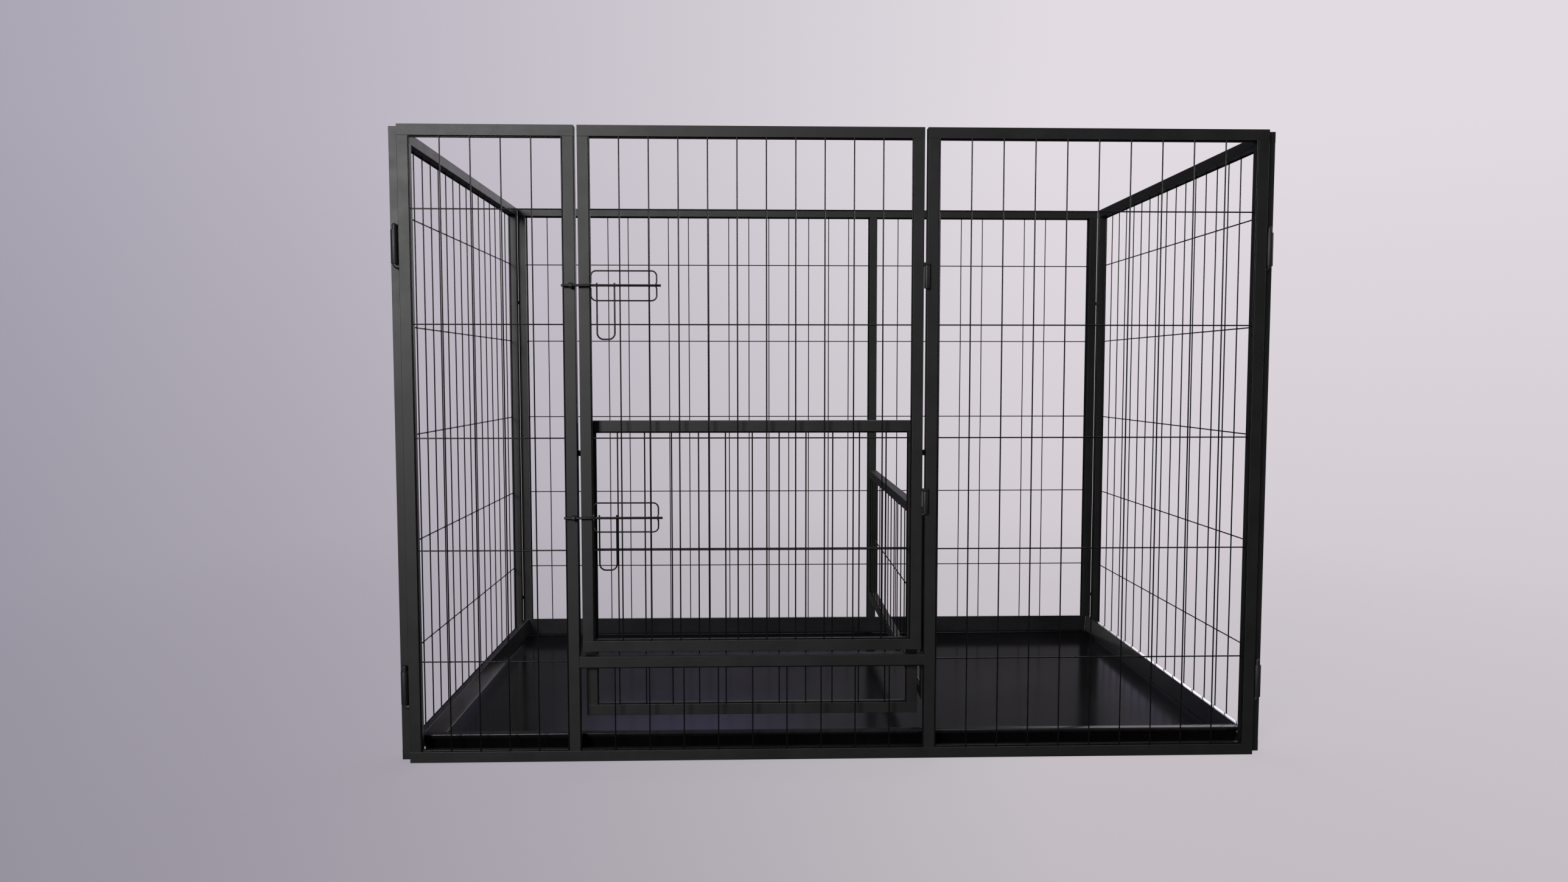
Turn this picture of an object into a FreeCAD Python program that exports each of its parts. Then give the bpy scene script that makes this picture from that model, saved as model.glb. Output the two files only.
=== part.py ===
import FreeCAD, Part
import math
import os

os.makedirs("parts", exist_ok=True)
V = FreeCAD.Vector

# Stock, in mm
tube = 16.0  # square tube of every panel frame, outside
tube_wall = 1.2
tube_edge = 0.6  # outside radius along the tube's edges
vent_d = 5.0  # drain hole from a closed rail into the post's bore
wire_d = 2.05  # welded grille wire
touch = 0.02  # gap left between pieces that are welded or laid together
run_gap = 0.3  # gap between pieces that slide or turn past each other
pin_gap = 0.1  # radial clearance of a pin in its barrel

# Enclosure
front_w = 1250.0  # front and back panels, over their end posts
side_l = 748.0  # side panels, which stand between the front and the back
height = 922.0
panel_gap = 0.3  # side panel to the ends of the front and back panels
left_bay = 248.5  # fixed section left of the door, over both posts
right_bay = 495.0  # fixed section right of the door, over both posts
step_h = 156.3  # top of the low rail that is stepped over

# Door
door_side_gap = 5.0
door_low_gap = 7.2
hinge_out = 4.5  # hinge axis in front of the panel's face
hinge_in = 1.6  # hinge axis beside the hinge post
hinge_pin_d = 5.0
hinge_od = 8.0
hinge_l = 33.0
hinge_lug_t = 3.8
hinge_lug_w = 5.0  # lug's reach along the stile, from the axis
pin_round = 0.8  # rounding at the end of a hinge, hook or foot pin
hinge_tops = (729.3, 402.6)  # top of each lug

# Slide bolts on the door
bolt_levels = (695.4, 361.6)  # rod axis
rod_d = 3.6
rod_round = 0.9
rod_l = 142.0
rod_past_post = 2.5  # rod tip beyond the far edge of the latch post
guide_wire = 2.2
guide_l = 93.8
guide_h = 42.4
guide_corner = 7.5
guide_bend = 2.4  # bend where the guide's short side comes forward
guide_from_stile = 2.0  # guide's near end beside the latch stile
handle_wire = 2.4
handle_w = 25.1  # between the legs
handle_drop = 76.5  # rod axis down to the bow of the handle
handle_top = 3.9  # legs standing above the rod axis
handle_corner = 9.0
handle_from_guide = 8.8  # first leg beside the guide's near end
keeper_od = 8.3
keeper_l = 6.5
keeper_round = 1.8
keeper_foot = 4.0
keeper_in = 1.4  # keeper's near end, inside the edge of the latch post

# Corner pins, on which the side panels drop
corner_pin_d = 7.0
corner_od = 11.0
corner_l = 48.4
corner_levels = (727.0, 85.5)  # bottom of each barrel
corner_bend = 4.2  # bend of the pin below the barrel
corner_offset = 0.5  # pin axis outside the middle of the side panel's post
corner_dome = 9.2  # pin standing out above the barrel
corner_round = 3.2  # rounding of the pin's domed end
corner_foot = 6.0

# Inner gate
gate_side_gap = 7.0
gate_back = 4.0  # behind the front panel
gate_low = 62.5
gate_h = 438.5
gate_cross = 173.5  # cross wire below the gate's top rail
hook_level = 449.7  # underside of the hooks
hook_t = 8.0
hook_w = 8.5
hook_pin_d = 5.0
hook_pin_l = 20.0
socket_l = 25.0

# Divider
divider_gap = 11.0  # to the front and back panels
divider_low = 80.0
divider_h = 280.0
foot_pin_d = 6.0
foot_pin_l = 16.0
foot_od = 10.0
foot_socket_l = 20.0
foot_arm = 8.0
divider_hook_level = 318.0

# Tray
tray_gap = 3.0
tray_h = 37.0
tray_lip = 10.0
tray_wall = 2.5
tray_draft = 4.0  # wall's lean from the floor to the lip
tray_rim = 7.0  # turned-down edge of the lip
tray_corner = 6.0

# Grilles
cross_first = 102.1  # top rail's underside to the first cross wire
cross_pitch = 163.6
cross_clear = 20.0  # least distance of a cross wire from a rail
front_left_count = 6  # uprights, edge wires included
front_right_count = 11
low_count = 11
door_count = 12
back_left_count = 18
back_right_count = 11
side_count = 18
divider_count = 17
gate_pitch = 39.5
gate_end = 25.0  # least space between the gate's edge wire and the next upright

# Places that several pieces share
depth = side_l + 2 * tube
y_front = -depth / 2
y_back = depth / 2
x_end = front_w / 2
x_side = x_end + panel_gap
x_latch = -x_end + left_bay  # latch post's face towards the door
x_hinge = x_end - right_bay  # hinge post's face towards the door
x_door = x_latch + door_side_gap
door_w = x_hinge - x_latch - 2 * door_side_gap
door_low = step_h + door_low_gap
x_gate = x_latch + gate_side_gap
gate_w = x_hinge - x_latch - 2 * gate_side_gap
y_gate = y_front + tube + gate_back
gate_top = gate_low + gate_h
divider_l = side_l - 2 * divider_gap
divider_top = divider_low + divider_h
y_divider = y_front + tube + divider_gap


def at(x, y, z=0.0, turn=0.0):
    """Place at a point, turned about the vertical by degrees."""
    return FreeCAD.Placement(V(x, y, z), FreeCAD.Rotation(V(0, 0, 1), turn))


def placed(shape, where):
    """Copy of a shape moved by a placement."""
    moved = shape.copy()
    moved.Placement = where.multiply(moved.Placement)
    return moved


def save(node, shapes, where=FreeCAD.Placement()):
    """Write one node: a solid, or a group of separate solids."""
    group = [placed(shape, where) for shape in shapes]
    whole = group[0] if len(group) == 1 else Part.makeCompound(group)
    whole.exportStep("parts/" + node + ".step")


def box(x0, x1, y0, y1, z0, z1):
    """Box between two limits on each axis."""
    return Part.makeBox(x1 - x0, y1 - y0, z1 - z0, V(x0, y0, z0))


def stick(length):
    """Tube's outside section with rounded edges, standing on the origin."""
    raw = Part.makeBox(tube, tube, length)
    return raw.makeFillet(tube_edge, [e for e in raw.Edges if abs(e.tangentAt(e.FirstParameter).z) > 0.5])


def post(u, z0, z1):
    """Upright open tube at u along a panel, between two rails."""
    bore = box(tube_wall, tube - tube_wall, tube_wall, tube - tube_wall, 0, z1 - z0)
    return placed(stick(z1 - z0).cut(bore), at(u, 0, z0))


def lying(u0, u1, z):
    """Tube's outside section lying along a panel."""
    bar = stick(u1 - u0)
    bar.rotate(V(0, 0, 0), V(0, 1, 0), 90)
    bar.translate(V(u0, 0, z + tube))
    return bar


def rail(u0, u1, z, vent_z, posts):
    """Tube closed at both ends, with a drain hole into each post's bore."""
    w = tube_wall
    bar = lying(u0, u1, z).cut(box(u0 + w, u1 - w, w, tube - w, z + w, z + tube - w))
    for u in posts:
        bar = bar.cut(Part.makeCylinder(vent_d / 2, 2 * w, V(u + tube / 2, tube / 2, vent_z - w)))
    return bar


def bottom_rail(u0, u1, z, posts):
    """Rail that the posts stand on."""
    return rail(u0, u1, z, z + tube, posts)


def top_rail(u0, u1, z, posts):
    """Rail that lies on the posts."""
    return rail(u0, u1, z, z, posts)


def cross_levels(z0, z1):
    """Heights of the cross wires between two rails, from the common pattern."""
    first = height - tube - cross_first
    levels = [first - k * cross_pitch for k in range(int(height / cross_pitch) + 1)]
    return [z for z in levels if z0 + cross_clear < z < z1 - cross_clear]


def even(u0, u1, wires):
    """Places of the upright wires, edge wires included, evenly spaced."""
    lo = u0 + wire_d / 2 + touch
    hi = u1 - wire_d / 2 - touch
    return [lo + k * (hi - lo) / (wires - 1) for k in range(wires)]


def grille(u0, u1, z0, z1, uprights, levels, turned=False):
    """Welded wires in a frame: uprights flush with the face, cross wires behind them, or turned round."""
    r = wire_d / 2
    behind = r + wire_d + touch
    y_up, y_cross = (behind, r) if turned else (r, behind)
    wires = [Part.makeCylinder(r, z1 - z0, V(u, y_up, z0), V(0, 0, 1)) for u in uprights]
    for z in [z0 + r + touch] + levels + [z1 - r - touch]:
        wires.append(Part.makeCylinder(r, u1 - u0, V(u0, y_cross, z), V(1, 0, 0)))
    return wires


def even_grille(span, z0, z1, wires, levels, turned=False):
    """Grille whose uprights are evenly spaced between two posts."""
    return grille(*span, z0, z1, even(*span, wires), levels, turned)


def frame_panel(name, ends, length, z0, z1, where):
    """Two posts between a bottom and a top rail, saved as four nodes."""
    feet = (0.0, length - tube)
    for end, u in zip(ends, feet):
        save(name + "_" + end, [post(u, z0 + tube, z1 - tube)], where)
    save(name + "_top_rail", [top_rail(0.0, length, z1 - tube, feet)], where)
    save(name + "_bottom_rail", [bottom_rail(0.0, length, z0, feet)], where)


def bent_wire(points, diameter, bends, closed):
    """Round wire along straight runs with tangent bends at the corners."""
    count = len(points)
    starts = list(points)
    ends = list(points)
    pieces = []
    for i in range(count) if closed else range(1, count - 1):
        into = (points[i] - points[i - 1]).normalize()
        out = (points[(i + 1) % count] - points[i]).normalize()
        turn = into.getAngle(out)
        back = bends[i] * math.tan(turn / 2)
        ends[i] = points[i] - into * back
        starts[i] = points[i] + out * back
        axis = into.cross(out).normalize()
        disc = Part.Face(Part.Wire(Part.makeCircle(diameter / 2, ends[i], into)))
        pieces.append(disc.revolve(ends[i] + axis.cross(into) * bends[i], axis, math.degrees(turn)))
    for i in range(count) if closed else range(1, count):
        run = ends[i] - starts[i - 1]
        if run.Length > 1e-6:
            pieces.append(Part.makeCylinder(diameter / 2, run.Length, starts[i - 1], run))
    return pieces[0].multiFuse(pieces[1:]).removeSplitter()


def rounded(solid, radius, level):
    """Solid with its circular edge at one height rounded."""
    return solid.makeFillet(radius, [e for e in solid.Edges if abs(e.BoundBox.ZMax - level) < 1e-6
                                     and e.BoundBox.ZLength < 1e-6])


def barrel(length, outside, bore, reach, foot_x0, foot_x1):
    """Upright barrel on the origin, with a weld foot that reaches a face at y = reach."""
    foot = box(foot_x0, foot_x1, 0, reach, 0, length)
    body = Part.makeCylinder(outside / 2, length).fuse(foot)
    return body.cut(Part.makeCylinder(bore / 2, length)).removeSplitter()


def lug(reach, width, seat, thick, pin_d, pin_l, dome):
    """Flat arm from the origin along +X with a round pin hanging from its round end."""
    arm = Part.makeCylinder(width / 2, thick).fuse(box(0, reach, -seat, width / 2, 0, thick))
    pin = rounded(Part.makeCylinder(pin_d / 2, pin_l, V(0, 0, -pin_l)), dome, -pin_l)
    return arm.fuse(pin).removeSplitter()


# Front panel: rails, posts and grilles round the doorway
front_at = at(-x_end, y_front)
u_latch = left_bay - tube
u_hinge = front_w - right_bay
u_last = front_w - tube
z_rail = height - tube
front_posts = {"left_post": 0.0, "mid_left_post": u_latch, "mid_right_post": u_hinge, "right_post": u_last}
for name, u in front_posts.items():
    save("front_" + name, [post(u, tube, z_rail)], front_at)
save("front_bottom_rail", [bottom_rail(0, front_w, 0, front_posts.values())], front_at)
save("front_left_top_rail", [top_rail(0, left_bay, z_rail, (0.0, u_latch))], front_at)
save("front_right_top_rail", [top_rail(u_hinge, front_w, z_rail, (u_hinge, u_last))], front_at)
low = (left_bay, u_hinge, step_h - tube)
low_bore = box(low[0], low[1], tube_wall, tube - tube_wall, low[2] + tube_wall, step_h - tube_wall)
save("front_low_rail", [lying(*low).cut(low_bore)], front_at)
full = cross_levels(tube, z_rail)
left_span = (tube, u_latch)
right_span = (u_hinge + tube, u_last)
save("front_left_mesh", even_grille(left_span, tube, z_rail, front_left_count, full), front_at)
save("front_right_mesh", even_grille(right_span, tube, z_rail, front_right_count, full), front_at)
low_span = (left_bay, u_hinge)
save("front_low_mesh", even_grille(low_span, tube, low[2], low_count, []), front_at)

# Side panels, with the cross wires flush with the outside and the uprights behind them
left_at = at(-x_side - tube, y_back - tube, 0, -90)
right_at = at(x_side + tube, y_front + tube, 0, 90)
side_span = (tube, side_l - tube)
side_mesh = even_grille(side_span, tube, z_rail, side_count, full, True)
frame_panel("left", ("rear_post", "front_post"), side_l, 0, height, left_at)
frame_panel("right", ("front_post", "rear_post"), side_l, 0, height, right_at)
save("left_mesh", side_mesh, left_at)
save("right_mesh", side_mesh, right_at)

# Back panel, seen from behind, with its middle post in line with the divider
back_at = at(x_end, y_back, 0, 180)
u_mid = right_bay - tube
back_posts = {"right_post": 0.0, "mid_post": u_mid, "left_post": u_last}
for name, u in back_posts.items():
    save("back_" + name, [post(u, tube, z_rail)], back_at)
save("back_bottom_rail", [bottom_rail(0, front_w, 0, back_posts.values())], back_at)
save("back_top_rail", [top_rail(0, front_w, z_rail, back_posts.values())], back_at)
back_right = (tube, u_mid)
back_left = (right_bay, u_last)
save("back_right_mesh", even_grille(back_right, tube, z_rail, back_right_count, full), back_at)
save("back_left_mesh", even_grille(back_left, tube, z_rail, back_left_count, full), back_at)

# Corner pins on the front and back panels, and the barrels of the side panels over them
corner_out = tube / 2 + panel_gap + corner_offset  # pin axis beyond the panel's end
corner_reach = corner_od / 2 + touch
corner_barrel = barrel(corner_l, corner_od, corner_pin_d + 2 * pin_gap, corner_reach,
                       -corner_foot / 2, corner_foot / 2)


def corner_pin(x0, x1, y, z):
    """Round pin bent up from a panel's end at x0, with a domed end above the barrel."""
    leg_z = z - run_gap - corner_bend
    top_z = z + corner_l + corner_dome
    path = [V(x0, y, leg_z), V(x1, y, leg_z), V(x1, y, top_z)]
    return rounded(bent_wire(path, corner_pin_d, [0, corner_bend, 0], False), corner_round, top_z)


barrels = {-1: [], 1: []}
pins = []
for sx in (-1, 1):
    for sy in (-1, 1):
        x = sx * (x_end + corner_out)
        y = sy * (depth / 2 - tube + corner_reach)
        for z in corner_levels:
            barrels[sx].append(placed(corner_barrel, at(x, y, z, 0 if sy < 0 else 180)))
            pins.append(corner_pin(sx * x_end, x, y, z))
save("left_corner_barrels", barrels[-1])
save("right_corner_barrels", barrels[1])
save("corner_pins", pins)

# Door
door_at = at(x_door, y_front)
door_span = (tube, door_w - tube)
frame_panel("door", ("latch_stile", "hinge_stile"), door_w, door_low, height, door_at)
door_cross = cross_levels(door_low + tube, z_rail)
save("door_mesh", even_grille(door_span, door_low + tube, z_rail, door_count, door_cross), door_at)

# Lift-off door hinges: barrels on the post, lugs with pins on the door
x_axis = x_hinge - hinge_in
hinge_bore = hinge_pin_d + 2 * pin_gap
hinge_barrel = barrel(hinge_l, hinge_od, hinge_bore, hinge_out, hinge_in, hinge_od / 2)
hinge_pin = lug(hinge_lug_w, hinge_od, hinge_out, hinge_lug_t, hinge_pin_d, hinge_l, pin_round)
hinge_low = [top - hinge_lug_t for top in hinge_tops]
y_axis = y_front - hinge_out
barrel_low = [z - run_gap - hinge_l for z in hinge_low]
save("door_hinge_barrels", [placed(hinge_barrel, at(x_axis, y_axis, z)) for z in barrel_low])
save("door_hinge_pins", [placed(hinge_pin, at(x_axis, y_axis, z, 180)) for z in hinge_low])

# Slide bolts: guide on the door's grille, handle behind the rod, rod in front, keeper on the post
y_guide = y_front - guide_wire / 2 - touch
y_handle = y_guide - guide_wire / 2 - run_gap - handle_wire / 2
y_rod = y_handle - handle_wire / 2 - run_gap - rod_d / 2
wrap = rod_d / 2 + run_gap + guide_wire / 2
y_wrap = y_rod - wrap
x_guide = x_door + tube + guide_from_stile
x_far = x_guide + guide_l
x_tip = x_latch - tube - rod_past_post
x_keeper = x_latch - keeper_in - keeper_l
half_h = guide_h / 2


def guide(z):
    """Wire loop whose short sides arch over the rod."""
    def side(x, s):
        steps = [(y_guide, half_h), (y_guide, wrap), (y_wrap, wrap)]
        down = [V(x, y, z + s * dz) for y, dz in steps]
        return down + [V(x, y, z - s * dz) for y, dz in reversed(steps)]

    bends = [guide_corner, guide_bend, wrap, wrap, guide_bend, guide_corner]
    return bent_wire(side(x_far, 1) + side(x_guide, -1), guide_wire, bends * 2, True)


def handle(z):
    """U-shaped wire handle hanging from the rod."""
    x0 = x_guide + handle_from_guide
    x1 = x0 + handle_w
    low_z = z - handle_drop
    path = [V(x0, y_handle, z + handle_top), V(x0, y_handle, low_z),
            V(x1, y_handle, low_z), V(x1, y_handle, z + handle_top)]
    return bent_wire(path, handle_wire, [0, handle_corner, handle_corner, 0], False)


def rod(z):
    """Bolt rod with rounded ends."""
    bar = Part.makeCylinder(rod_d / 2, rod_l, V(x_tip, y_rod, z), V(1, 0, 0))
    ends = [e for e in bar.Edges if e.BoundBox.XLength < 1e-6]
    return bar.makeFillet(rod_round, ends)


def keeper(z):
    """Rounded collar on the latch post, bored for the rod."""
    ring = Part.makeCylinder(keeper_od / 2, keeper_l, V(x_keeper, y_rod, z), V(1, 0, 0))
    ring = ring.makeFillet(keeper_round, [e for e in ring.Edges if e.BoundBox.XLength < 1e-6])
    mid = x_keeper + keeper_l / 2
    half = keeper_foot / 2
    ring = ring.fuse(box(mid - half, mid + half, y_rod, y_front, z - half, z + half))
    return ring.cut(Part.makeCylinder(rod_d / 2 + run_gap, keeper_l, V(x_keeper, y_rod, z), V(1, 0, 0)))


save("bolt_guides", [guide(z) for z in bolt_levels])
save("bolt_keepers", [keeper(z) for z in bolt_levels])
for name, z in zip(("upper", "lower"), bolt_levels):
    save(name + "_bolt_rod", [rod(z)])
    save(name + "_bolt_handle", [handle(z)])

# Inner gate, hung by a hook at each end behind the doorway's posts
gate_at = at(x_gate, y_gate)
gate_span = (tube, gate_w - tube)
frame_panel("gate", ("left_post", "right_post"), gate_w, gate_low, gate_top, gate_at)
gate_steps = int((gate_w - 2 * tube - 2 * gate_end) / gate_pitch)
inner = [gate_w / 2 + (k - gate_steps / 2) * gate_pitch for k in range(gate_steps + 1)]
gate_uprights = even(*gate_span, 2) + inner
gate_level = [gate_top - tube - gate_cross]
save("gate_mesh", grille(*gate_span, gate_low + tube, gate_top - tube, gate_uprights, gate_level), gate_at)
socket_reach = hook_w / 2 + run_gap
y_socket = y_front + tube + socket_reach
hook_reach = tube / 2 + gate_side_gap
hook = lug(hook_reach, hook_w, hook_w / 2, hook_t, hook_pin_d, hook_pin_l, pin_round)
socket = barrel(socket_l, hook_w, hook_pin_d + 2 * pin_gap, socket_reach, -hook_w / 4, hook_w / 4)
hook_posts = ((x_latch - tube / 2, 0), (x_hinge + tube / 2, 180))
save("gate_hooks", [placed(hook, at(x, y_socket, hook_level, turn)) for x, turn in hook_posts])
save("gate_sockets", [placed(socket, at(x, y_socket, hook_level - run_gap - socket_l, 180))
                      for x, turn in hook_posts])

# Divider, standing on a pin under each end and hooked to the back panel
x_divider = x_hinge + tube / 2
divider_at = at(x_hinge, y_divider + divider_l, 0, -90)
divider_span = (tube, divider_l - tube)
frame_panel("divider", ("rear_post", "front_post"), divider_l, divider_low, divider_top, divider_at)
mid_level = [divider_low + divider_h / 2]
save("divider_mesh", even_grille(divider_span, divider_low + tube, divider_top - tube, divider_count,
                                 mid_level), divider_at)
foot_reach = divider_gap + tube / 2
foot_bore = foot_pin_d + 2 * pin_gap
foot_socket = barrel(foot_socket_l, foot_od, foot_bore, foot_reach, -foot_arm / 2, foot_arm / 2)
foot_bar = Part.makeCylinder(foot_pin_d / 2, foot_pin_l, V(0, 0, -foot_pin_l))
foot_pin = rounded(foot_bar, pin_round, -foot_pin_l)
foot_ends = ((y_divider + tube / 2, 180), (y_divider + divider_l - tube / 2, 0))
y_hook = y_back - tube - socket_reach
rear_hook = lug(divider_gap - socket_reach, hook_w, hook_w / 2, hook_t, hook_pin_d, hook_pin_l, pin_round)
save("divider_pins", [placed(foot_pin, at(x_divider, y, divider_low)) for y, turn in foot_ends]
     + [placed(rear_hook, at(x_divider, y_hook, divider_hook_level, -90))])
save("divider_sockets", [placed(foot_socket, at(x_divider, y, divider_low - run_gap - foot_socket_l, turn))
                         for y, turn in foot_ends]
     + [placed(socket, at(x_divider, y_hook, divider_hook_level - run_gap - socket_l))])


def outline(inset, z):
    """Rounded rectangle of the tray, set in from the panels."""
    half_x = x_end - tray_gap - inset - tray_corner
    half_y = side_l / 2 - tray_gap - inset - tray_corner
    core = Part.makePlane(2 * half_x, 2 * half_y, V(-half_x, -half_y, z))
    return core.OuterWire.makeOffset2D(tray_corner)


def slab(inset, z0, z1):
    """Flat plate of the tray's outline."""
    return Part.Face(outline(inset, z0)).extrude(V(0, 0, z1 - z0))


# Tray: a drawn pan with leaning walls and a lip that is turned down at its edge
lean = tray_lip + tray_draft
lip_z = tray_h - tray_wall
pan = Part.makeLoft([outline(lean - tray_wall, 0), outline(tray_lip - tray_wall, lip_z)], True, True)
rim = slab(0, tray_h - tray_rim, tray_h).cut(slab(tray_wall, tray_h - tray_rim, lip_z))
hollow = Part.makeLoft([outline(lean, tray_wall), outline(tray_lip, tray_h)], True, True)
save("tray", [pan.fuse(rim).cut(hollow).removeSplitter()])
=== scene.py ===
"""Looks of the dog run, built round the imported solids. All sizes are in metres, in the solids' own frame."""

import logging
import math
from dataclasses import dataclass
from enum import Enum
from functools import reduce
from typing import Any, Iterable, Sequence

import bpy
from mathutils import Matrix, Vector


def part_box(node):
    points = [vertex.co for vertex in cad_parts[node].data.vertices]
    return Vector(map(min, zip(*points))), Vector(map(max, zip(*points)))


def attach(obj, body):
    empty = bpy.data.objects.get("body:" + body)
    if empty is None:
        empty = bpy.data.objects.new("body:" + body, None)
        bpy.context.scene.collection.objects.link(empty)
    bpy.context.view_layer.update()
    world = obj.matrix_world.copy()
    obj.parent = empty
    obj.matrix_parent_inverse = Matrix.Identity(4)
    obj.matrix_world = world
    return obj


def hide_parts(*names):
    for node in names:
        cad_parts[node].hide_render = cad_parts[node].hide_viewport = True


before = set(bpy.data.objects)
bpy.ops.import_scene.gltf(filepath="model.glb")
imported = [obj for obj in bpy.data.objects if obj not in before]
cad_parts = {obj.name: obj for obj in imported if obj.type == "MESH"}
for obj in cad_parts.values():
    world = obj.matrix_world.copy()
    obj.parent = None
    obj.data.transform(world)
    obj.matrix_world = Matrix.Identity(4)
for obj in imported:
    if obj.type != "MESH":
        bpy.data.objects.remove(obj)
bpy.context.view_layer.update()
LOG = logging.getLogger("dog_run")

Socket = bpy.types.NodeSocket
Mesh = bpy.types.Mesh
Pair = tuple[float, float]
Triple = tuple[float, float, float]
Slope = tuple[float, float, float, float]

MM = 0.001
TOUCH = 0.02 * MM
FRAME_BODY = "frame"
TUBE_ENDINGS = ("_post", "_rail", "_stile")
UP = Vector((0.0, 0.0, 1.0))
ROUND_SIDES = 24
NOSE_STEPS = 5
BEND_STEPS = 8
ARM_STEPS = 12
BLOCK_STEPS = 3
LEAST_CORNER = 0.1
SHARP_ANGLE = 38.0
WIRE_ROWS = ("Inner", "Outer", "Cross", "Rim")
ROW_PARTS = {"Count": "NodeSocketInt", "Start": "NodeSocketVector", "Step": "NodeSocketVector"}


class Slot(Enum):
    """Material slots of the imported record."""

    TUBE = "tube_coat"
    WIRE = "wire_coat"
    HARDWARE = "hardware_coat"
    TRAY = "tray_plastic"


class Facing(Enum):
    """Side that a panel's grille faces, as a turn about the vertical in degrees."""

    FRONT = 0
    LEFT = -90
    RIGHT = 90
    BACK = 180


class NodeGraph:
    """Adds and links the nodes of one tree."""

    def __init__(self, tree: bpy.types.NodeTree) -> None:
        """Keep the tree that the nodes go into."""
        self.tree = tree

    def node(self, kind: str, inputs: dict[Any, Any], **settings: Any) -> bpy.types.Node:
        """Add one node.

        Args:
            kind: Blender's name of the node type.
            inputs: Sockets to link or plain values to set, by the input's name or number.
            settings: Properties of the node itself.

        Returns:
            The new node.
        """
        made = self.tree.nodes.new(kind)
        for name, value in settings.items():
            setattr(made, name, value)
        for key, value in inputs.items():
            if isinstance(value, Socket):
                self.tree.links.new(value, made.inputs[key])
            else:
                made.inputs[key].default_value = value
        return made

    def add(self, kind: str, inputs: dict[Any, Any], output: Any = 0, **settings: Any) -> Socket:
        """Add one node and pick one of its outputs, by name or number."""
        return self.node(kind, inputs, **settings).outputs[output]

    def math(self, operation: str, first: Any, second: Any) -> Socket:
        """Do one sum, by its name in Blender, on two numbers or sockets."""
        return self.add("ShaderNodeMath", {0: first, 1: second}, operation=operation)


class ShaderGraph(NodeGraph):
    """Adds the nodes of a material or of the world."""

    def __init__(self, holder: bpy.types.ID) -> None:
        """Start with no nodes.

        Args:
            holder: The material or world.
        """
        holder.use_nodes = True
        holder.node_tree.nodes.clear()
        super().__init__(holder.node_tree)

    def total(self, *terms: Any) -> Socket:
        """Sum of numbers and sockets."""
        return reduce(lambda one, other: self.math("ADD", one, other), terms)

    def product(self, *factors: Any) -> Socket:
        """Product of numbers and sockets."""
        return reduce(lambda one, other: self.math("MULTIPLY", one, other), factors)

    def slope(self, value: Socket, low: float, high: float, start: float = 0.0, end: float = 1.0,
              **settings: Any) -> Socket:
        """Number that runs from start to end, and not beyond, while a value runs from low to high."""
        return self.add("ShaderNodeMapRange", dict(enumerate((value, low, high, start, end))), **settings)

    def between(self, value: Socket, rising: Pair, falling: Pair) -> Socket:
        """One between a rising and a falling slope, nothing outside them."""
        return self.product(self.slope(value, *rising), self.slope(value, *falling, 1.0, 0.0))

    def mixed(self, share: Socket, first: Any, second: Any) -> Socket:
        """Number between two others."""
        return self.add("ShaderNodeMix", {0: share, 2: first, 3: second})

    def tones(self, share: Socket, span: Pair, *ends: Triple) -> Socket:
        """Colour that runs from one tone to another.

        Args:
            share: Number that picks the colour.
            span: Where the run starts and ends.
            ends: The two tones.

        Returns:
            Colour socket.
        """
        ramp = self.node("ShaderNodeValToRGB", {"Fac": share})
        for stop, position, tone in zip(ramp.color_ramp.elements, span, ends):
            stop.position = position
            stop.color = (*tone, 1.0)
        return ramp.outputs["Color"]

    def noise(self, place: Socket, scale: float, detail: float, roughness: float) -> Socket:
        """Noise at a place."""
        settings = {"Vector": place, "Scale": scale, "Detail": detail, "Roughness": roughness}
        return self.add("ShaderNodeTexNoise", settings, "Fac")

    def scaled(self, colour: Socket, factor: Socket) -> Socket:
        """Colour times a number."""
        return self.add("ShaderNodeVectorMath", {0: colour, "Scale": factor}, operation="SCALE")

    def part(self, vector: Socket, axis: str) -> Socket:
        """A vector's part along an axis."""
        return self.add("ShaderNodeSeparateXYZ", {0: vector}, axis)

    def coordinates(self, kind: str) -> Socket:
        """Texture coordinates, by their name in Blender."""
        return self.add("ShaderNodeTexCoord", {}, kind)

    def ray(self, kind: str) -> Socket:
        """One for rays of a kind, by its name in Blender."""
        return self.add("ShaderNodeLightPath", {}, kind)


class GeometryGraph(NodeGraph):
    """Adds the nodes that shape wires and welds."""

    def row(self, count: Any, start: Any, step: Any) -> Socket:
        """Row of points, one step apart from the start on."""
        return self.add("GeometryNodeMeshLine", {"Count": count, "Start Location": start, "Offset": step})

    def joined(self, *parts: Socket) -> Socket:
        """Join geometries.

        Args:
            parts: The geometries.

        Returns:
            Socket with all of them.
        """
        node = self.node("GeometryNodeJoinGeometry", {})
        for part in parts:
            self.tree.links.new(part, node.inputs[0])
        return node.outputs[0]

    def wire(self, curve: Socket, radius: Any, sides: int) -> Socket:
        """Round wire with closed ends along a curve."""
        ring = self.add("GeometryNodeCurvePrimitiveCircle", {"Resolution": sides, "Radius": radius})
        return self.add("GeometryNodeCurveToMesh", {"Curve": curve, "Profile Curve": ring, "Fill Caps": True})

    def set_on(self, points: Socket, shape: Socket, scale: Any = (1.0, 1.0, 1.0)) -> Socket:
        """Set a shape on every point."""
        return self.add("GeometryNodeInstanceOnPoints", {"Points": points, "Instance": shape, "Scale": scale})

    def realized(self, geometry: Socket) -> Socket:
        """Turn instances into plain geometry."""
        return self.add("GeometryNodeRealizeInstances", {0: geometry})

    def spread(self, points: Socket, others: Socket, shift: Triple = (0.0, 0.0, 0.0)) -> Socket:
        """Points at the sum of two rows' places and a shift."""
        spots = self.realized(self.set_on(points, others))
        return self.add("GeometryNodeSetPosition", {"Geometry": spots, "Offset": shift})


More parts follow.
